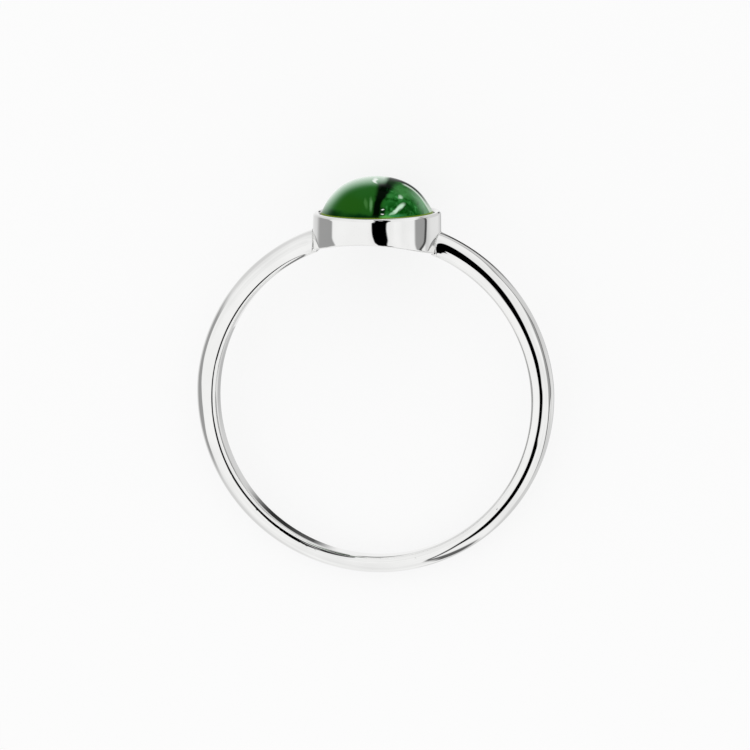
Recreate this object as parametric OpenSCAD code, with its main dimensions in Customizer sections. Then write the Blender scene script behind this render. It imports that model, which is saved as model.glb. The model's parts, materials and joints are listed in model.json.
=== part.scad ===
// Finger ring of white metal with a round green cabochon in a plain bezel, lying on its side.
// The ring is drawn about its own centre, with the finger along Z and the stone towards +Y, and
// at_rest() then lays it down: it leans on the foot of its bezel and on the back of its band.
// Lengths are in millimetres and angles in degrees.

/* [Band] */
// Inside radius of the band, where the finger goes
finger_r = 8.5; // [8.2:0.1:9.5]
// Width of the band at the back, measured along the finger
back_w = 1.5; // [1.4:0.05:1.5]
// Width that the shoulders grow to under the bezel
top_w = 1.9; // [1.8:0.05:1.95]
// Thickness of the band at the back
back_t = 0.93; // [0.85:0.01:1]
// Thickness half way round, which it nearly keeps up to the bezel
side_t = 1.17; // [1.1:0.01:1.2]
// Thickness of the shoulders under the bezel
top_t = 1.19; // [1.15:0.01:1.25]
// Radius of the domed face towards the back, where the band is thinner
back_dome_r = 0.8; // [0.77:0.01:0.82]
// Radius of the eased edges inside the band
eased_edge = 0.46; // [0.45:0.01:0.5]

/* [Bezel] */
// Height of the lip's crest over the ring's centre
lip_top = 10.1; // [10:0.01:10.15]
// Radius of the lip's rounded crest
lip_round = 0.18; // [0.16:0.01:0.2]
// Outside radius of the wall where the lip begins
lip_r = 3.42; // [3.4:0.01:3.46]
// Outside radius of the wall at its foot, which flares a little
foot_r = 3.49; // [3.47:0.01:3.6]
// How much further out than the band the bezel's underside is cut
underside_relief = 0.17; // [0.05:0.01:0.25]
// Radius of the window that opens the bezel's back under the stone
window_r = 2.3; // [1.5:0.1:2.6]

/* [Stone] */
// Radius of the stone's domed top
stone_dome_r = 3.27; // [3.24:0.01:3.32]
// Height of the top of the dome over the ring's centre
stone_top = 11.99; // [11.95:0.01:12.02]
// Radius of the stone's girdle
girdle_r = 3.07; // [3.02:0.01:3.1]
// Height of the stone's flat base over the ring's centre
base_h = 9.38; // [9.3:0.01:9.45]
// Gap all round between the stone and its seat
stone_gap = 0.04; // [0.02:0.01:0.06]

/* [Hidden] */
// Depth to which each half of the band is drawn on the far side of the other
band_deep = 2.5;
// How far the arms of the band run into the bezel's wall
arm_overlap = 0.25;
$fn = 128;

// The domed face is a half circle across the band's width at the back
dome_r = back_w / 2;
// Radius at which the dome ends and the eased edge begins, where the band is widest
base_r = finger_r + top_t - dome_r;
// The same for the dome that thins the back, which is a little wider and cuts the first
back_base_r = finger_r + side_t - back_dome_r;
// Angle by which each flank leans out from the back of the band to the top
flank_lean = atan((top_w - back_w) / 2 / (2 * finger_r));
stone_dome_h = stone_top - stone_dome_r;
lip_h = lip_top - lip_round;
underside_r = finger_r + underside_relief;
// Height at which the hole for the finger leaves the wall at its sides
foot_h = sqrt(pow(finger_r, 2) - pow(foot_r, 2));

// Outside radius of the bezel's wall at height h
function wall_r(h) = foot_r + (lip_r - foot_r) * (h - foot_h) / (lip_h - foot_h);

// The ring leans on two points: the foot of the bezel, at the top of the arch that its underside
// makes, and the edge at the back where the thinner dome meets the eased edge
edge_out = back_base_r - side_t + back_t + sqrt(pow(back_dome_r, 2) - pow(dome_r, 2)) - finger_r;
edge_y = finger_r + edge_out * cos(flank_lean) + dome_r * sin(flank_lean);
edge_z = dome_r * cos(flank_lean) - edge_out * sin(flank_lean);
lean_r = wall_r(underside_r);
lean = atan((lean_r - edge_z) / (underside_r + edge_y));
// Height of the ring's centre, and the shift that centres the leaning ring along Y
rest_h = lean_r * cos(lean) - underside_r * sin(lean);
stone_reach = stone_dome_h * cos(lean) + stone_dome_r;
back_reach = (finger_r + back_t - back_dome_r) * cos(lean) + back_dome_r;
rest_y = (back_reach - stone_reach) / 2;

module at_rest() {
    translate([0, rest_y, rest_h]) rotate([lean, 0, 0]) children();
}

// Turns what is drawn upwards from the ring's centre so that it points at the stone
module towards_stone() {
    rotate([-90, 0, 0]) children();
}

// Upper half of the band's section, drawn on below it: dome and eased edge
module half_section() {
    translate([base_r, 0]) intersection() {
        circle(r = dome_r);
        square(2 * dome_r);
    }
    translate([base_r, dome_r - eased_edge]) circle(r = eased_edge);
    square([base_r, dome_r - eased_edge]);
    translate([0, -band_deep]) square([finger_r + top_t, band_deep]);
}

// Dome that thins the back of the band
module back_section() {
    translate([back_base_r, 0]) intersection() {
        circle(r = back_dome_r);
        square(2 * back_dome_r);
    }
    square([back_base_r, back_dome_r]);
    translate([0, -band_deep]) square([finger_r + side_t, band_deep]);
}

// One flank of the band, leaning out from the back to the top
module flank() {
    translate([0, -finger_r, 0]) rotate([flank_lean, 0, 0]) translate([0, finger_r, 0])
        intersection() {
            rotate_extrude() half_section();
            translate([0, side_t - back_t, 0]) rotate_extrude() back_section();
        }
}

// The band, open under the bezel between the ends of its arms
module shank() {
    difference() {
        intersection() {
            flank();
            mirror([0, 0, 1]) flank();
        }
        cylinder(r = finger_r, h = 3 * top_w, center = true);
        towards_stone() cylinder(r = lip_r - arm_overlap, h = 2 * finger_r);
    }
}

// The stone's shape, grown by a gap for the seat that is cut for it
module stone_shape(gap) {
    intersection() {
        translate([0, 0, stone_dome_h]) sphere(r = stone_dome_r + gap);
        translate([0, 0, base_h - gap]) cylinder(r = girdle_r + gap, h = stone_dome_r);
    }
}

// Wall with its rolled lip, seat for the stone, window below it, and an underside that follows
// the finger
module bezel() {
    difference() {
        towards_stone() difference() {
            union() {
                translate([0, 0, foot_h]) cylinder(r1 = foot_r, r2 = lip_r, h = lip_h - foot_h);
                translate([0, 0, lip_h]) rotate_extrude() translate([lip_r - lip_round, 0])
                    circle(r = lip_round);
            }
            stone_shape(stone_gap);
            cylinder(r = window_r, h = base_h);
        }
        cylinder(r = underside_r, h = 3 * foot_r, center = true);
    }
}

module band_with_bezel() {
    color("silver") at_rest() union() {
        shank();
        bezel();
    }
}

module cabochon() {
    color("forestgreen") at_rest() towards_stone() stone_shape(0);
}

band_with_bezel();
cabochon();
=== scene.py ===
import json
import math

import bmesh
import bpy
import numpy as np
from mathutils import Matrix, Vector


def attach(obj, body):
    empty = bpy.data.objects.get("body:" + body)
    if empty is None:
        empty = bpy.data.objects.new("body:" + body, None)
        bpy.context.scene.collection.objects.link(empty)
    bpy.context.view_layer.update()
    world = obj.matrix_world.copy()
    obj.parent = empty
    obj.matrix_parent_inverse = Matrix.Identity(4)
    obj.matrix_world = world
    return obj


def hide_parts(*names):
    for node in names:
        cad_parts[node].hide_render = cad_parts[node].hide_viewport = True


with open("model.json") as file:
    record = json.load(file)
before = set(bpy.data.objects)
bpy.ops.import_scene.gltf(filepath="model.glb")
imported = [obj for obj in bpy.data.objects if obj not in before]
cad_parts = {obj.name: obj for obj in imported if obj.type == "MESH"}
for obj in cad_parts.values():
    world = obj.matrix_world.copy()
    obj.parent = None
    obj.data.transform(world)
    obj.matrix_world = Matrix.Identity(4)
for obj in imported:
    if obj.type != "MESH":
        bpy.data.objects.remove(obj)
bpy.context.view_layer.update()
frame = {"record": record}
scene = bpy.context.scene

# Camera: a long lens looks nearly along the finger, a little from the right and from above the
# stone. The ring lies down, so in its own directions the picture is the photograph's.
MM = 0.001
PHOTO_PX = 750
px_per_mm = 18.67
ring_px = (375.2, 398.4)
view_azimuth = math.radians(9.0)
view_height = math.radians(8.36)
picture_turn = math.radians(0.6)
camera_away = 500 * MM
nearest_seen = 10 * MM
farthest_seen = 20

mount = frame["record"]["mounts"][0]
centre = Vector(mount["pos_m"])
along_finger = Vector(mount["axis"]).normalized()
across = Vector((1, 0, 0))
to_stone = along_finger.cross(across)
ring_turn = Matrix((across, to_stone, along_finger)).transposed().to_4x4()
ring_place = Matrix.Translation(centre) @ ring_turn

back = (math.sin(view_azimuth) * math.cos(view_height) * across + math.sin(view_height) * to_stone
        + math.cos(view_azimuth) * math.cos(view_height) * along_finger)
level = math.cos(view_azimuth) * across - math.sin(view_azimuth) * along_finger
upward = back.cross(level)
right = math.cos(picture_turn) * level + math.sin(picture_turn) * upward
up = back.cross(right)
aim = (centre + (PHOTO_PX / 2 - ring_px[0]) / px_per_mm * MM * right
       + (ring_px[1] - PHOTO_PX / 2) / px_per_mm * MM * up)
looking = Matrix((right, up, back)).transposed().to_4x4()

camera = bpy.data.objects.new("camera", bpy.data.cameras.new("camera"))
scene.collection.objects.link(camera)
camera.matrix_world = Matrix.Translation(aim + camera_away * back) @ looking
camera.data.lens = camera.data.sensor_width * camera_away / (PHOTO_PX / px_per_mm * MM)
camera.data.clip_start = nearest_seen
camera.data.clip_end = farthest_seen
scene.camera = camera
scene.view_settings.view_transform = "Standard"

# Band and bezel: one piece of sterling silver with a bright white plating, mirror polished. The
# half-round band is bent up, and its ends are soldered to the turned bezel cup. Lengths are in
# millimetres, from the middle of the finger's hole.
finger_r = 8.5
back_t = 0.928
side_t = 1.1665
top_t = 1.19
back_half_w = 0.75
top_half_w = 0.94
flare = 3.0
dome_r = 0.74
eased_r = 0.32
swell = 0.09
swell_reach = 0.32
joint_r = 3.22
arm_in_wall = 0.25
STEPS_ALONG = 560
STEPS_ACROSS = 101
hairline_spacing = 0.05
wave_length = 1.6
wave_depth = 0.02
smoothest = 0.02
roughest = 0.045


def linear(hex_colour):
    """The linear colour, with alpha, of an sRGB hex value."""
    part = [int(hex_colour[i:i + 2], 16) / 255 for i in (1, 3, 5)]
    return [c / 12.92 if c <= 0.04045 else ((c + 0.055) / 1.055) ** 2.4 for c in part] + [1.0]


def add(tree, kind, *ins, named=None, out=0, **settings):
    """Adds a node with its settings, and gives back one of its outputs. Its inputs come in order,
    or by name or number in named, and each is a value or an output to link."""
    node = tree.nodes.new(kind)
    for key, value in settings.items():
        setattr(node, key, value)
    for key, value in list(enumerate(ins)) + list((named or {}).items()):
        if isinstance(value, bpy.types.NodeSocket):
            tree.links.new(value, node.inputs[key])
        else:
            node.inputs[key].default_value = value
    return node.outputs[out] if node.outputs else node


MATH = "ShaderNodeMath"
RANGE = "ShaderNodeMapRange"
NOISE = "ShaderNodeTexNoise"
MIX = "ShaderNodeMix"
# The sockets of a Mix node share their names, so they go by number.
SHARE, VALUE_A, VALUE_B = 0, 2, 3
COLOUR_A, COLOUR_B, MIXED_COLOUR = 6, 7, 2


def new_material(name):
    """A material with an empty node tree, and that tree."""
    made = bpy.data.materials.new(name)
    made.use_nodes = True
    made.node_tree.nodes.clear()
    return made, made.node_tree


# Rhodium-plated sterling silver, lapped and mirror polished: it takes its look from what it
# reflects, a little softened by the broad waves that the wheel leaves. Its real hairlines are too
# fine for the picture, so they are drawn coarser and change only how sharp the reflections are.
silver, metal_tree = new_material("rhodium_plated_silver")
place = add(metal_tree, "ShaderNodeTexCoord", out="Object")
wave = add(metal_tree, NOISE, place, named={"Scale": 1 / (wave_length * MM), "Detail": 1.0})
hair = add(metal_tree, NOISE, place,
           named={"Scale": 1 / (hairline_spacing * MM), "Detail": 3.0, "Roughness": 0.6})
gloss = add(metal_tree, RANGE, hair, 0.35, 0.75, smoothest, roughest)
soft = add(metal_tree, "ShaderNodeBump",
           named={"Strength": 0.05, "Distance": wave_depth * MM, "Height": wave})
tone_share = add(metal_tree, RANGE, wave, 0.3, 0.7, 0.0, 1.0)
tone = add(metal_tree, MIX, data_type="RGBA", out=MIXED_COLOUR,
           named={SHARE: tone_share, COLOUR_A: linear("#f9f9f8"), COLOUR_B: linear("#f4f4f3")})
shader = add(metal_tree, "ShaderNodeBsdfPrincipled", tone,
             named={"Metallic": 1.0, "Roughness": gloss, "Normal": soft})
add(metal_tree, "ShaderNodeOutputMaterial", shader)

# The band follows a rule: one section, whose width and thickness change round the finger.
band_inputs = {
    "Finger radius": finger_r, "Back thickness": back_t, "Side thickness": side_t,
    "Top thickness": top_t, "Back half width": back_half_w, "Top half width": top_half_w,
    "Flare": flare, "Dome radius": dome_r, "Eased edge": eased_r, "Swell": swell,
    "Swell reach": swell_reach, "Arm in wall": arm_in_wall, "Joint radius": joint_r,
    "Steps round": STEPS_ALONG, "Steps across": STEPS_ACROSS, "Metal": silver}
SOCKET_KINDS = {float: "NodeSocketFloat", int: "NodeSocketInt",
                bpy.types.Material: "NodeSocketMaterial"}
group = bpy.data.node_groups.new("half_round_band", "GeometryNodeTree")
sockets = {name: group.interface.new_socket(name=name, in_out="INPUT",
                                            socket_type=SOCKET_KINDS[type(value)])
           for name, value in band_inputs.items()}
group.interface.new_socket(name="Geometry", in_out="OUTPUT", socket_type="NodeSocketGeometry")
given = add(group, "NodeGroupInput").node.outputs

# A flat grid is bent into the band. It runs from -1 to 1 from one arm's end to the other's, and
# from -1 to 1 round the section, which starts and ends in the middle of the inside wall.
grid = add(group, "GeometryNodeMeshGrid", 2.0, 2.0, given["Steps round"], given["Steps across"])
at = add(group, "ShaderNodeSeparateXYZ", add(group, "GeometryNodeInputPosition")).node.outputs
turn, lap = at[0], at[1]
far = add(group, MATH, lap, operation="ABSOLUTE")
which = add(group, MATH, lap, operation="SIGN")
# Each half of the section has a crest, a dome, a flat flank, an eased edge and the inside wall.
# These are the shares of the way round it at which the first four end.
crest_end, dome_stop, flank_end, ease_end = 0.04, 0.5, 0.52, 0.84
crest = add(group, RANGE, far, 0.0, crest_end, 0.0, 1.0)
flank = add(group, RANGE, far, dome_stop, flank_end, 1.0, 0.0)
inside = add(group, RANGE, far, ease_end, 1.0, 1.0, 0.0)
rounded = add(group, MATH, given["Dome radius"], given["Eased edge"], operation="ADD")
dome_root = add(group, MATH, given["Dome radius"], operation="SQRT")
ease_root = add(group, MATH, given["Eased edge"], operation="SQRT")
roots = add(group, MATH, dome_root, ease_root, operation="ADD")
dome_share = add(group, MATH, dome_root, roots, operation="DIVIDE")


def section(thickness, half_width):
    """Where the section's points lie, out from the finger's axis and aside from the band's middle
    plane. Where the band is too thin for both, the dome and the eased edge stop where they meet."""
    free = add(group, MATH, thickness, rounded, operation="SUBTRACT")
    overlap = add(group, MATH, free, -1.0, operation="MULTIPLY")
    overlap = add(group, MATH, overlap, 0.0, operation="MAXIMUM")
    free = add(group, MATH, free, 0.0, operation="MAXIMUM")

    dome_part = add(group, MATH, overlap, dome_share, operation="MULTIPLY")
    dome_end = add(group, MATH, dome_part, given["Dome radius"], operation="DIVIDE")
    dome_end = add(group, MATH, dome_end, operation="ARCCOSINE")
    dome = add(group, RANGE, far, crest_end, dome_stop, 0.0, dome_end)
    dome_out = add(group, MATH, dome, operation="COSINE")
    dome_aside = add(group, MATH, dome, operation="SINE")

    ease_part = add(group, MATH, overlap, dome_part, operation="SUBTRACT")
    ease_start = add(group, MATH, ease_part, given["Eased edge"], operation="DIVIDE")
    ease_start = add(group, MATH, ease_start, operation="ARCSINE")
    ease = add(group, RANGE, far, flank_end, ease_end, ease_start, math.pi / 2)
    ease_out = add(group, MATH, 1.0, add(group, MATH, ease, operation="SINE"),
                   operation="SUBTRACT")
    ease_aside = add(group, MATH, add(group, MATH, ease, operation="COSINE"), 1.0,
                     operation="SUBTRACT")

    out_by = add(group, MATH, free, flank, given["Finger radius"], operation="MULTIPLY_ADD")
    out_by = add(group, MATH, out_by, dome_part, operation="SUBTRACT")
    out_by = add(group, MATH, dome_out, given["Dome radius"], out_by, operation="MULTIPLY_ADD")
    out_by = add(group, MATH, ease_out, given["Eased edge"], out_by, operation="MULTIPLY_ADD")
    aside = add(group, MATH, half_width, given["Dome radius"], operation="SUBTRACT")
    aside = add(group, MATH, aside, crest, operation="MULTIPLY")
    aside = add(group, MATH, dome_aside, given["Dome radius"], aside, operation="MULTIPLY_ADD")
    aside = add(group, MATH, ease_aside, given["Eased edge"], aside, operation="MULTIPLY_ADD")
    return out_by, add(group, MATH, aside, inside, operation="MULTIPLY")


# Each line of the band ends where it meets a cylinder inside the bezel's wall.
end_out, end_side = section(given["Top thickness"], given["Top half width"])
joint_squared = add(group, MATH, given["Joint radius"], 2.0, operation="POWER")
side_squared = add(group, MATH, end_side, 2.0, operation="POWER")
end_across = add(group, MATH, joint_squared, side_squared, operation="SUBTRACT")
end_across = add(group, MATH, end_across, operation="SQRT")
end_angle = add(group, MATH, end_across, end_out, operation="DIVIDE")
end_angle = add(group, MATH, end_angle, operation="ARCSINE")
half_turn = add(group, MATH, math.pi, end_angle, operation="SUBTRACT")
angle = add(group, MATH, turn, half_turn, math.pi, operation="MULTIPLY_ADD")
cosine = add(group, MATH, angle, operation="COSINE")
sine = add(group, MATH, angle, operation="SINE")
near_top = add(group, MATH, cosine, 0.5, 0.5, operation="MULTIPLY_ADD")
near_top = add(group, MATH, near_top, given["Flare"], operation="POWER")
widening = add(group, MATH, given["Top half width"], given["Back half width"],
               operation="SUBTRACT")
half_width = add(group, MATH, widening, near_top, given["Back half width"],
                 operation="MULTIPLY_ADD")
# The arms swell a little just before the bezel, where the solder has run.
from_end = add(group, MATH, 1.0, add(group, MATH, turn, operation="ABSOLUTE"),
               operation="SUBTRACT")
from_end = add(group, MATH, from_end, half_turn, operation="MULTIPLY")
from_end = add(group, MATH, from_end, given["Finger radius"], operation="MULTIPLY")
from_wall = add(group, MATH, from_end, given["Arm in wall"], operation="SUBTRACT")
fading = add(group, MATH, from_wall, given["Swell reach"], operation="DIVIDE")
fading = add(group, MATH, fading, -1.0, operation="MULTIPLY")
swollen = add(group, MATH, math.e, fading, operation="POWER")
half_width = add(group, MATH, swollen, given["Swell"], half_width, operation="MULTIPLY_ADD")
# The band is thinnest at the back, and no thicker than its shoulders anywhere.
thinning = add(group, MATH, given["Side thickness"], given["Back thickness"],
               operation="SUBTRACT")
thickness = add(group, MATH, thinning, cosine, given["Side thickness"],
                operation="MULTIPLY_ADD")
thickness = add(group, MATH, thickness, given["Top thickness"], operation="MINIMUM")
out_by, aside = section(thickness, half_width)
spot = add(group, "ShaderNodeCombineXYZ",
           add(group, MATH, out_by, sine, operation="MULTIPLY"),
           add(group, MATH, out_by, cosine, operation="MULTIPLY"),
           add(group, MATH, aside, which, operation="MULTIPLY"))
bent = add(group, "GeometryNodeSetPosition", grid, named={"Position": spot})
whole = add(group, "GeometryNodeRealizeInstances", bent)
metal = add(group, "GeometryNodeSetMaterial", whole, named={"Material": given["Metal"]})
add(group, "NodeGroupOutput", metal)

former = bpy.data.objects.new("band_former", bpy.data.meshes.new("band_former"))
scene.collection.objects.link(former)
modifier = former.modifiers.new("half_round_band", "NODES")
modifier.node_group = group
for name, value in band_inputs.items():
    modifier[sockets[name].identifier] = value
shaped = former.evaluated_get(bpy.context.evaluated_depsgraph_get())
band = bpy.data.meshes.new_from_object(shaped)
bpy.data.objects.remove(former)

# The bezel is turned about the stone's axis, apart from its underside, which follows the finger.
lip_top = 10.1
lip_round = 0.18
lip_h = lip_top - lip_round
lip_r = 3.418
lip_roll = 172
foot_r = 3.49
foot_h = math.sqrt(finger_r ** 2 - foot_r ** 2)
foot_edge = 0.08
underside_r = 8.67
window_r = 2.3
seat_r = 3.11
seat_h = 9.34
grip_h = 0.06
stone_dome_r = 3.27
stone_dome_h = 8.711
stone_gap = 0.04
# The cup and the stone's edge sit askew on the band: this is the rise along the finger.
askew = 0.0235
# Polishing has drawn the wall in towards its foot: by how much, and the height where that fades.
drawn_in = ((0.022, 0.18), (0.042, 1.1))
# The points of the wall lie closer together near its foot, by this power.
wall_gathering = 1.4
STEPS_ROUND = 288
UNDER_POINTS, EDGE_POINTS, WALL_POINTS, LIP_POINTS = 10, 9, 30, 25
GRIP_POINTS, SEAT_POINTS, WINDOW_POINTS = 3, 6, 8


def held(share):
    """A share, held between 0 and 1."""
    return min(1.0, max(0.0, share))


def arc(out, height, radius, start, end, count):
    """Points of an outline on an arc about a radius and a height, between angles in degrees."""
    return [(out + radius * math.cos(k), height + radius * math.sin(k))
            for k in np.radians(np.linspace(start, end, count))]


def bezel_profile(angle):
    """The bezel's outline at an angle round the stone, as radius and height, anticlockwise. The
    cup sits a little askew on the band, but its underside follows the finger."""
    def under(radius):
        return math.sqrt(underside_r ** 2 - (radius * math.sin(angle)) ** 2)

    def wall(height):
        straight = foot_r + (lip_r - foot_r) * (height - foot_h) / (lip_h - foot_h)
        return straight - sum(depth * (math.exp((low - height) / fade) - math.exp((low - lip_h) / fade))
                              for depth, fade in drawn_in)

    low = under(foot_r)
    points = [(r, under(r)) for r in np.linspace(window_r, wall(low) - foot_edge, UNDER_POINTS)]
    edge_h = points[-1][1]
    for k in np.linspace(-90, 0, EDGE_POINTS)[1:]:
        h = edge_h + foot_edge + foot_edge * math.sin(math.radians(k))
        points.append((wall(h) - foot_edge + foot_edge * math.cos(math.radians(k)), h))
    wall_start = points[-1][1]
    upwards = np.linspace(0, 1, WALL_POINTS)[1:-1] ** wall_gathering
    points += [(wall(h), h) for h in wall_start + (lip_h - wall_start) * upwards]
    points += arc(lip_r - lip_round, lip_h, lip_round, 0, lip_roll, LIP_POINTS)
    # The lip's inner face lies along the dome of the stone, and the seat goes down from there.
    seat_dome = stone_dome_r + stone_gap
    touch = stone_dome_h + math.sqrt(seat_dome ** 2 - seat_r ** 2)
    points += [(math.sqrt(seat_dome ** 2 - (h - stone_dome_h) ** 2), h)
               for h in np.linspace(touch + grip_h, touch, GRIP_POINTS)]
    points += [(seat_r, h) for h in np.linspace(touch, seat_h, SEAT_POINTS)[1:]]
    points += [(r, seat_h) for r in np.linspace(seat_r, window_r, SEAT_POINTS)[1:]]
    points += [(window_r, h) for h in np.linspace(seat_h, under(window_r), WINDOW_POINTS)[1:-1]]
    leaning = []
    for r, h in points:
        above_finger = held((h - under(r)) / (seat_h - under(r)))
        leaning.append((r, h + askew * r * math.sin(angle) * above_finger))
    return leaning


def lofted(name, rings):
    """A mesh over closed rings of points, each joined to the next, and the last to the first."""
    steps = len(rings)
    count = len(rings[0])
    faces = []
    for i in range(steps):
        start, following = i * count, (i + 1) % steps * count
        for j in range(count):
            beside = (j + 1) % count
            faces.append((start + j, following + j, following + beside, start + beside))
    mesh = bpy.data.meshes.new(name)
    mesh.from_pydata([point for ring in rings for point in ring], [], faces)
    return mesh


def turned(name, profile, steps):
    """A mesh turned about the stone's axis, from the outline at each angle."""
    angles = np.linspace(0, 2 * math.pi, steps, endpoint=False)
    return lofted(name, [[(r * math.sin(a), h, r * math.cos(a)) for r, h in profile(a)]
                         for a in angles])


weld_within = 0.0005
sharp_from = math.radians(35)


def finished(name, meshes, material):
    """One smooth mesh object from several closed shells drawn in millimetres about the ring."""
    shell = bmesh.new()
    for mesh in meshes:
        shell.from_mesh(mesh)
        bpy.data.meshes.remove(mesh)
    bmesh.ops.remove_doubles(shell, verts=shell.verts, dist=weld_within)
    bmesh.ops.holes_fill(shell, edges=[e for e in shell.edges if e.is_boundary], sides=0)
    bmesh.ops.recalc_face_normals(shell, faces=shell.faces)
    bmesh.ops.transform(shell, matrix=ring_place @ Matrix.Scale(MM, 4), verts=shell.verts)
    mesh = bpy.data.meshes.new(name)
    shell.to_mesh(mesh)
    shell.free()
    mesh.materials.append(material)
    mesh.shade_smooth()
    mesh.set_sharp_from_angle(angle=sharp_from)
    piece = bpy.data.objects.new(name, mesh)
    scene.collection.objects.link(piece)
    return piece


# Solder runs round each arm where it meets the wall, in a fillet that fades out inside the ring.
solder_r = 0.07
solder_least = 0.001
# Share of the fillet's radius by which its root lies inside the metal
solder_root = 0.3
# The fillet fades in as the arm's face turns away from the finger, from this cosine on and so fast
fade_start = -0.75
fade_rate = 2.5
# Height over which the wall is taken as straight, and how far its face leans up there
joint_wall_h = 2.2
joint_wall_lean = 0.1
STEPS_SOLDER = 9
LINES = STEPS_ACROSS - 1
flow = np.array([v.co for v in band.vertices]).reshape(STEPS_ALONG, STEPS_ACROSS, 3)[:, :LINES]
solder = []
for name, path in (("solder_right", flow), ("solder_left", flow[::-1])):
    rings = []
    for j in range(LINES):
        line = path[:, j]
        wall_here = (foot_r - lip_r) * (lip_top - line[:, 1]) / joint_wall_h
        clear = np.hypot(line[:, 0], line[:, 2]) - lip_r - wall_here
        i = max(int(np.argmax(clear > 0)), 1)
        share = clear[i - 1] / (clear[i - 1] - clear[i])
        meet = line[i - 1] + share * (line[i] - line[i - 1])
        along = Vector(line[i] - line[i - 1])
        beside = Vector(path[i, (j + 1) % LINES] - path[i, j - 1])
        arm_out = along.cross(beside).normalized()
        if arm_out.dot(Vector(path[i, j]) - Vector(path[i].mean(axis=0))) < 0:
            arm_out = -arm_out
        from_finger = Vector((meet[0], meet[1], 0)).normalized()
        wall_out = Vector((meet[0], joint_wall_lean, meet[2])).normalized()
        fade = held(fade_rate * (arm_out.dot(from_finger) - fade_start))
        radius = solder_r * fade * fade * (3 - 2 * fade) + solder_least
        away = (arm_out + wall_out) / (1 + arm_out.dot(wall_out))
        heart = Vector(meet) + radius * away
        ring = [Vector(meet) - solder_root * radius * away]
        for k in range(STEPS_SOLDER):
            ring.append(heart - radius * arm_out.slerp(wall_out, k / (STEPS_SOLDER - 1)))
        rings.append(ring)
    solder.append(lofted(name, rings))

bezel = turned("bezel", bezel_profile, STEPS_ROUND)
setting = finished("silver_band_and_bezel", [band, bezel] + solder, silver)
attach(setting, "root")
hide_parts("band_with_bezel")

# Cabochon: a round of green tourmaline, ground to a low dome with a flat base and polished all
# over. It drops into the bezel's seat, and the lip is rolled down over its edge.
girdle_r = 3.07
stone_base = 9.38
base_edge = 0.1
fullness = 0.06
askew_top = 10.6
askew_fade = 0.7
STONE_STEPS_ROUND = 224
BASE_POINTS, BASE_EDGE_POINTS, DOME_POINTS = 12, 8, 72


def stone_profile(angle):
    """The stone's outline, as radius and height, from the middle of its base to its top. The dome
    is a little fuller than a sphere, and its edge lies askew as its seat does."""
    points = [(r, stone_base) for r in np.linspace(0, girdle_r - base_edge, BASE_POINTS)]
    points += arc(girdle_r - base_edge, stone_base + base_edge, base_edge, -90, 0,
                  BASE_EDGE_POINTS)[1:]
    bend = math.acos(girdle_r / stone_dome_r)
    for k in np.linspace(bend, math.pi / 2, DOME_POINTS):
        out = stone_dome_r + fullness * math.sin(math.pi * (k - bend) / (math.pi / 2 - bend)) ** 3
        points.append((out * math.cos(k), stone_dome_h + out * math.sin(k)))
    points[-1] = (0, points[-1][1])
    return [(r, h + askew * r * math.sin(angle) * held((askew_top - h) / askew_fade))
            for r, h in points]


# Tourmaline, index 1.62, polished. A clear deep green, smooth left of the middle and mottled
# with fine light and dark feathers right of it. Its depth, the room's reflection at its rim, a dark
# reflection of the lens's slot down its middle, its highlights and the shade at its base are all
# painted on the opaque surface, so its own specular level is low.
refractive_index = 1.62
painted_specular = 0.01
# The pattern is in millimetres about the middle of the dome: x across, y towards its top and z
# along the finger. Its cloudy zones, its bends and its fine feathers come so often per millimetre.
zones_per_mm = 0.55
bends_per_mm = 1.3
feathers_per_mm = 3.2
bend_reach = 0.28
tourmaline, stone_tree = new_material("green_tourmaline")
stone_place = add(stone_tree, "ShaderNodeMapping",
                  add(stone_tree, "ShaderNodeTexCoord", out="Object"),
                  centre + stone_dome_h * MM * to_stone, ring_place.to_euler(), (MM, MM, MM),
                  vector_type="TEXTURE")
shift = add(stone_tree, NOISE, stone_place, named={"Scale": bends_per_mm, "Detail": 3.0},
            out="Color")
shift = add(stone_tree, "ShaderNodeVectorMath", shift, (0.5, 0.5, 0.5), operation="SUBTRACT")
shift = add(stone_tree, "ShaderNodeVectorMath", shift, named={"Scale": bend_reach},
            operation="SCALE")
bent_place = add(stone_tree, "ShaderNodeVectorMath", stone_place, shift, operation="ADD")
bent_xyz = add(stone_tree, "ShaderNodeSeparateXYZ", bent_place).node.outputs
x, y = bent_xyz[0], bent_xyz[1]
straight_xyz = add(stone_tree, "ShaderNodeSeparateXYZ", stone_place).node.outputs
straight_x, height = straight_xyz[0], straight_xyz[1]
facing = add(stone_tree, "ShaderNodeLayerWeight", 0.5, out="Facing")


def tinted(colour, tone, *limits):
    """A colour turned to an sRGB tone. Each limit is a value, where its tint starts and where it
    is full, and how strong that is if not whole. The limits are multiplied."""
    share = 1.0
    for value, start, end, *most in limits:
        part = add(stone_tree, RANGE, value, start, end, 0.0, most[0] if most else 1.0,
                   interpolation_type="SMOOTHSTEP")
        share = add(stone_tree, MATH, share, part, operation="MULTIPLY")
    return add(stone_tree, MIX, data_type="RGBA", out=MIXED_COLOUR,
               named={SHARE: share, COLOUR_A: colour, COLOUR_B: linear(tone)})


# Shares of a mark's size where it is gone and where it is full
mark_gone, mark_full = 1.6, 0.4


def soft_mark(middle, size, lean, most):
    """The limit of a soft mark, as tinted takes it. Such marks are patches in the stone, painted
    highlights and patches of painted reflection and shade. Its size is from its middle to its edge,
    which is soft, and it leans in degrees."""
    near = add(stone_tree, "ShaderNodeMapping", bent_place, middle, (0, 0, math.radians(lean)),
               size, vector_type="TEXTURE")
    distance = add(stone_tree, "ShaderNodeVectorMath", near, operation="LENGTH", out="Value")
    return distance, mark_gone, mark_full, most
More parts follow.
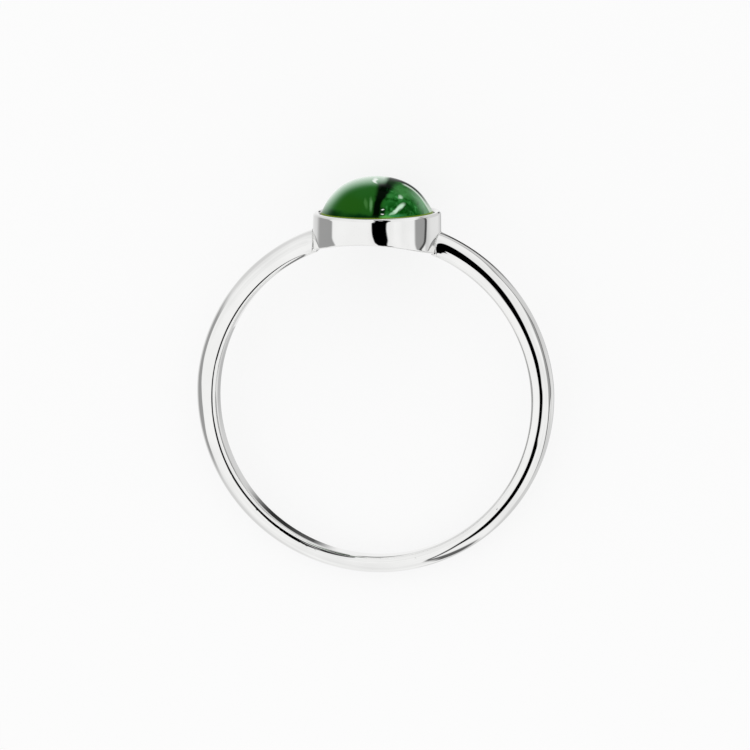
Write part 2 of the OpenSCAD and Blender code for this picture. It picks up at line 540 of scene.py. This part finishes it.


# The body colour: cloudy zones, and fine light and dark feathers right of the painted dark band
broad = add(stone_tree, NOISE, stone_place, named={"Scale": zones_per_mm, "Detail": 2.0})
fine = add(stone_tree, NOISE, bent_place,
           named={"Scale": feathers_per_mm, "Detail": 5.0, "Distortion": 0.7})
body = add(stone_tree, MIX, data_type="RGBA", out=MIXED_COLOUR,
           named={SHARE: broad, COLOUR_A: linear("#164f12"), COLOUR_B: linear("#245f20")})
body = tinted(body, "#20550f", soft_mark((-1.1, 1.95, 2.0), (0.9, 0.5, 2.5), 0, 0.7))
body = tinted(body, "#1c6424", (x, 0.5, 1.0, 0.9))
body = tinted(body, "#044508", (x, 0.45, 0.95), (fine, 0.49, 0.36))
body = tinted(body, "#3f8a48", (x, 0.45, 0.95), (fine, 0.53, 0.68, 0.9))
# Painted shade: darker towards the base, where the bezel closes round the stone, most on the left
body = tinted(body, "#04360b", (y, 1.75, 1.42), (x, 1.2, 0.0, 0.55))
# Painted reflection of the lens's dark slot: a dark band down the dome, the same all along the
# finger, which leans and widens towards the top and is darkest there
middle = add(stone_tree, RANGE, y, 2.15, 2.7, 0.40, 0.60)
half = add(stone_tree, RANGE, y, 2.3, 2.75, 0.21, 0.36)
gap = add(stone_tree, MATH, x, middle, operation="SUBTRACT")
gap = add(stone_tree, MATH, gap, operation="ABSOLUTE")
gap = add(stone_tree, MATH, gap, half, operation="DIVIDE")
body = tinted(body, "#010a02", (gap, 1.45, 0.6))
body = tinted(body, "#020c04", soft_mark((0.80, 2.95, 0.9), (0.32, 0.20, 1.0), -12, 0.97))
body = tinted(body, "#022a06", soft_mark((0.90, 3.12, 0.5), (0.36, 0.10, 1.0), -16, 0.95))
# Painted highlights: a bright spot, a streak, two pinpoints and a sparkle, with pale and dark
# patches and pale streaks beside them, a dark pocket round the pinpoints, and painted shade low
# along the base
for middle, size, lean, most, tone in (
        ((1.50, 2.42, 1.6), (0.10, 0.08, 0.5), 0, 0.85, "#c2e0c8"),
        ((1.60, 1.94, 2.1), (0.17, 0.11, 0.9), 52, 1.0, "#c6e8cd"),
        ((1.42, 1.77, 2.3), (0.22, 0.07, 0.9), 40, 1.0, "#cdebd3"),
        ((1.22, 1.64, 2.5), (0.16, 0.045, 0.9), 28, 0.9, "#9ed0aa"),
        ((1.25, 1.47, 2.6), (0.50, 0.10, 0.9), 5, 0.7, "#3b9458"),
        ((0.72, 1.69, 2.6), (0.14, 0.18, 0.6), 0, 0.9, "#06140a"),
        ((0.72, 1.79, 2.6), (0.07, 0.025, 0.5), 0, 1.0, "#f4f8f4"),
        ((0.73, 1.59, 2.7), (0.07, 0.025, 0.5), 0, 1.0, "#f4f8f4"),
        ((1.55, 2.66, 1.1), (0.50, 0.20, 1.2), -28, 0.6, "#468648"),
        ((1.00, 2.50, 1.8), (0.22, 0.10, 0.8), -10, 0.6, "#35803b"),
        ((1.15, 2.05, 2.3), (0.26, 0.12, 0.8), 10, 0.7, "#0a4f10"),
        ((0.80, 2.80, 1.2), (0.03, 0.10, 0.5), 0, 0.7, "#0f4a1c"),
        ((0.95, 1.45, 2.8), (0.30, 0.07, 0.6), 0, 0.8, "#5cb04c"),
        ((1.85, 2.68, 0.2), (0.12, 0.04, 0.3), -45, 0.8, "#d8e8da"),
        ((0.04, 2.06, 2.5), (0.08, 0.27, 0.9), 4, 0.75, "#659a62"),
        ((-0.22, 2.12, 2.5), (0.08, 0.22, 0.9), 6, 0.5, "#4d8544"),
        ((-2.10, 1.46, 2.0), (0.50, 0.20, 1.2), 0, 0.95, "#022c06"),
        ((-0.35, 1.44, 2.9), (0.80, 0.13, 1.0), 0, 0.95, "#022e0c"),
        ((2.00, 1.80, 1.8), (0.16, 0.18, 0.8), 30, 0.8, "#033f08")):
    body = tinted(body, tone, soft_mark(middle, size, lean, most))
# Painted reflection of the room towards the outline: pale on the left, the top and the far right,
# and on the right a dark edge with a pale line just inside it.
body = tinted(body, "#7ab085", (facing, 0.38, 0.60, 0.32), (x, 0.5, 0.1), (height, 0.8, 2.4))
body = tinted(body, "#5c9c68", (facing, 0.50, 0.64, 0.45), (x, 0.74, 0.5), (height, 0.8, 2.4))
body = tinted(body, "#e4f2e7", (facing, 0.44, 0.96), (x, 0.75, 0.35), (height, 0.7, 2.5))
body = tinted(body, "#8fb896", (facing, 0.36, 0.60, 0.64), (x, 1.6, 2.5))
body = tinted(body, "#e6f0e6", (facing, 0.655, 0.69, 0.65), (x, 1.35, 1.6))
body = tinted(body, "#04140a", (facing, 0.725, 0.765), (x, 0.6, 0.85), (height, 1.4, 2.6, 0.97))
# A painted highlight near the top of the dome
body = tinted(body, "#f4faf5", soft_mark((0.03, 3.15, 0.9), (0.20, 0.045, 0.6), -26, 0.9))
# Where the lip grips the stone, a painted yellowish-green glow lines its edge.
edge = add(stone_tree, MATH, straight_x, -askew, height, operation="MULTIPLY_ADD")
body = tinted(body, "#7c942c", (edge, 1.42, 1.38, 0.95), (edge, 1.08, 1.16))
shader = add(stone_tree, "ShaderNodeBsdfPrincipled", body,
             named={"Roughness": 0.03, "IOR": refractive_index,
                    "Specular IOR Level": painted_specular})
add(stone_tree, "ShaderNodeOutputMaterial", shader)

cabochon = turned("cabochon", stone_profile, STONE_STEPS_ROUND)
stone = finished("tourmaline_cabochon", [cabochon], tourmaline)
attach(stone, "root")
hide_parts("cabochon")

# Table and light: a broad table of white acrylic, in a tent of white cloth lit from outside. Two
# bright walls stand left and right of the camera, with a dark slot for the lens between them.
table_reach = 9
table_glow = 0.83
# Sanded white acrylic: matt and nearly even, with a faint clouding some 80 mm across.
acrylic, table_tree = new_material("white_acrylic_table")
clouding = add(table_tree, NOISE, add(table_tree, "ShaderNodeTexCoord", out="Object"),
               named={"Scale": 12.0, "Detail": 2.0})
tone_share = add(table_tree, RANGE, clouding, 0.3, 0.7, 0.0, 1.0)
tone = add(table_tree, MIX, data_type="RGBA", out=MIXED_COLOUR,
           named={SHARE: tone_share, COLOUR_A: linear("#747474"), COLOUR_B: linear("#767676")})
shader = add(table_tree, "ShaderNodeBsdfPrincipled", tone,
             named={"Roughness": 0.5, "Specular IOR Level": 0.1,
                    "Emission Color": linear("#fafafa"), "Emission Strength": table_glow})
add(table_tree, "ShaderNodeOutputMaterial", shader)
floor_mesh = bpy.data.meshes.new("table")
floor_mesh.from_pydata([(-table_reach, -table_reach, 0), (table_reach, -table_reach, 0),
                        (table_reach, table_reach, 0), (-table_reach, table_reach, 0)],
                       [], [(0, 1, 2, 3)])
floor_mesh.materials.append(acrylic)
floor = bpy.data.objects.new("table", floor_mesh)
scene.collection.objects.link(floor)
floor.visible_glossy = False

# The tent as the ring reflects it. Turn is the angle round the ring from the finger's axis to the
# right, and rise the angle from its middle plane towards the stone, both in degrees.
world = bpy.data.worlds.new("light_tent")
scene.world = world
world.use_nodes = True
tent = world.node_tree
tent.nodes.clear()
way = add(tent, "ShaderNodeTexCoord", out="Generated")
toward = [add(tent, "ShaderNodeVectorMath", way, tuple(v), operation="DOT_PRODUCT", out="Value")
          for v in (across, to_stone, along_finger)]
turn = add(tent, MATH, add(tent, MATH, toward[0], toward[2], operation="ARCTAN2"),
           operation="DEGREES")
rise = add(tent, MATH, add(tent, MATH, toward[1], operation="ARCSINE"), operation="DEGREES")
uneven = add(tent, NOISE, way, named={"Scale": 2.5, "Detail": 2.0})


def bent_edge(angle, *points):
    """The limit of a panel in degrees, which changes with an angle through some points."""
    curve = add(tent, "ShaderNodeFloatCurve",
                named={1: add(tent, RANGE, angle, -180.0, 180.0, 0.0, 1.0)}).node
    line = curve.mapping.curves[0]
    while len(line.points) < len(points):
        line.points.new(0.5, 0.5)
    for point, (start, limit) in zip(line.points, points):
        point.location = ((start + 180) / 360, (limit + 180) / 360)
        point.handle_type = "VECTOR"
    curve.mapping.update()
    return add(tent, RANGE, curve.outputs[0], 0.0, 1.0, -180.0, 180.0)


def off(angle, limit):
    """How many degrees an angle is off a limit, on either side."""
    return add(tent, MATH, add(tent, MATH, angle, limit, operation="SUBTRACT"),
               operation="ABSOLUTE")


def panel(light, tone, *edges):
    """The light so far, with a panel of a tone inside some edges: an angle, its limit and its
    softness in degrees, which is negative where the panel lies below the limit."""
    share = 1.0
    for angle, limit, soft in edges:
        past = add(tent, MATH, angle, limit, operation="SUBTRACT")
        part = add(tent, RANGE, past, -soft, soft, 0.0, 1.0, interpolation_type="SMOOTHSTEP")
        share = add(tent, MATH, share, part, operation="MULTIPLY")
    return add(tent, MIX, data_type="FLOAT", named={SHARE: share, VALUE_A: light, VALUE_B: tone})


light = add(tent, RANGE, uneven, 0.3, 0.7, 0.84, 0.96)
light = panel(light, 0.95, (turn, -75.0, 8.0), (turn, -2.0, -8.0), (rise, -24.0, 8.0),
              (rise, 6.0, -6.0))
# Grey side of the tent on the left
light = panel(light, 0.70, (turn, -150.0, 20.0), (turn, -92.0, -20.0), (rise, -50.0, 16.0),
              (rise, 50.0, -16.0))
grey_end = bent_edge(rise, (-180, -88), (-22, -86), (-17, -73), (-14, -70), (-11, -72.5),
                     (-8.8, -74.5), (-7.8, -78.3), (-3, -81), (1, -87), (11, -86), (17, -83),
                     (180, -85))
light = panel(light, 0.34, (turn, -123.0, 9.0), (turn, grey_end, -2.5), (rise, -29.0, 5.0),
              (rise, 17.0, -5.0))
# Grey side on the right, with a dark seam, and the paler back beyond it
light = panel(light, 0.66, (turn, 106.0, 3.0), (rise, -50.0, 8.0), (rise, 45.0, -4.0))
light = panel(light, 0.80, (turn, 117.0, 8.0), (turn, 156.0, -8.0), (rise, -15.0, 4.0),
              (rise, 4.0, -8.0))
light = panel(light, 0.50, (turn, 168.0, 2.0), (rise, -14.0, 3.0), (rise, -2.0, -3.0))
seam = bent_edge(rise, (-180, 112), (-34, 112), (-25, 103), (-18, 97), (-14, 94), (-11, 93.5),
                 (-9.6, 96), (-8.1, 100), (-7.1, 104.5), (-6.4, 108), (0, 106), (10, 104),
                 (15, 109), (20, 115), (30, 110), (46, 107), (180, 107))
side = bent_edge(rise, (-180, 110), (-30, 104), (-20, 90), (-8, 81), (5, 80), (18, 85), (28, 95),
                 (45, 104), (180, 106))
light = panel(light, 0.34, (turn, side, 3.0), (turn, seam, -2.0), (rise, -32.0, 4.0),
              (rise, 30.0, -8.0))
light = panel(light, 0.06, (off(turn, seam), 3.0, -2.0), (rise, -34.0, 5.0), (rise, 46.0, -3.0))
light = panel(light, 0.35, (turn, 107.0, 3.0), (turn, 160.0, -9.0), (rise, 42.0, 2.0),
              (rise, 48.0, -2.0))
# Far edge of the table, low on the right, with its thickness
table_edge = bent_edge(turn, (-180, -62), (14, -60), (20, -70), (30, -74), (60, -77), (90, -76),
                       (112, -73), (130, -69), (150, -63), (160, -57), (165, -40), (172, -26),
                       (180, -26))
edge_half = bent_edge(turn, (-180, 2), (14, 3), (30, 3), (90, 5), (125, 8), (150, 10), (166, 4),
                      (180, 2))
light = panel(light, 0.12, (off(rise, table_edge), edge_half, -3.0), (turn, 12.0, 2.0),
              (turn, 162.0, -5.0))
# Dark back of the room over the tent, and a dark gap in the tent's back
light = panel(light, 0.10, (turn, -172.0, 3.0), (turn, -150.0, -3.0), (rise, 42.0, 3.0),
              (rise, 66.0, -3.0))
light = panel(light, 0.12, (turn, 150.0, 3.0), (rise, 60.0, 3.0), (rise, 76.0, -3.0))
for gap_side in ((turn, 168.0, 2.0), (turn, -178.0, -2.5)):
    light = panel(light, 0.03, gap_side, (rise, 8.0, 3.0), (rise, 15.0, -3.0))
# The dark slot for the camera, from over the ring down to the table
slot_start = bent_edge(rise, (-180, 14), (-60, 13), (-45, 10), (-36, 8), (-27, 10), (-21, 10.5),
                       (-16.4, 10.2), (-12.6, 5.5), (-10.3, 3.9), (-8.9, 2.8), (-7.5, 1.6),
                       (-7.1, 0.8), (-6.3, -0.8), (-4, -1), (-2, 1.5), (2, 4), (5.5, 4.5),
                       (7, 2.2), (8.5, 0.7), (12, 0.6), (30, 5), (45, 2), (60, -4), (75, -9),
                       (180, -9))
slot_end = bent_edge(rise, (-180, 33), (-47, 34), (-35, 38.5), (-30, 39), (-20, 36), (-17, 27),
                     (-12.6, 27), (-10.3, 27.8), (-8.8, 28.6), (-7.6, 28.2), (-7.1, 27.8),
                     (-6.6, 27), (-6.2, 25), (-4, 27), (0, 30), (5, 27), (12, 29), (20, 33),
                     (32, 35.5), (60, 36.5), (70, 38), (180, 38))
slot = ((turn, slot_start, 1.2), (turn, slot_end, -1.8))
light = panel(light, 0.14, *slot, (rise, 56.0, 6.0), (rise, 78.0, -3.0))
light = panel(light, 0.0, *slot, (rise, -47.5, 2.0), (rise, 60.0, -8.0))
light = panel(light, 0.9, (turn, 11.0, 1.5), (turn, 20.0, -1.5), (rise, 41.0, 1.5),
              (rise, 47.0, -1.5))
from_slot = add(tent, MATH, turn, slot_start, operation="SUBTRACT")
light = panel(light, 0.10, (from_slot, 0.0, 1.2), (from_slot, 7.0, -1.8), (rise, -66.0, 2.0),
              (rise, -46.0, -2.0))
# The camera and the matt table see the tent evenly lit, and only what is polished sees its panels.
ray = add(tent, "ShaderNodeLightPath").node.outputs
direct = add(tent, MATH, ray["Is Camera Ray"], ray["Is Diffuse Ray"], operation="MAXIMUM")
light = add(tent, MIX, data_type="FLOAT", named={SHARE: direct, VALUE_A: light, VALUE_B: 1.0})
add(tent, "ShaderNodeOutputWorld", add(tent, "ShaderNodeBackground", light, 1.0))
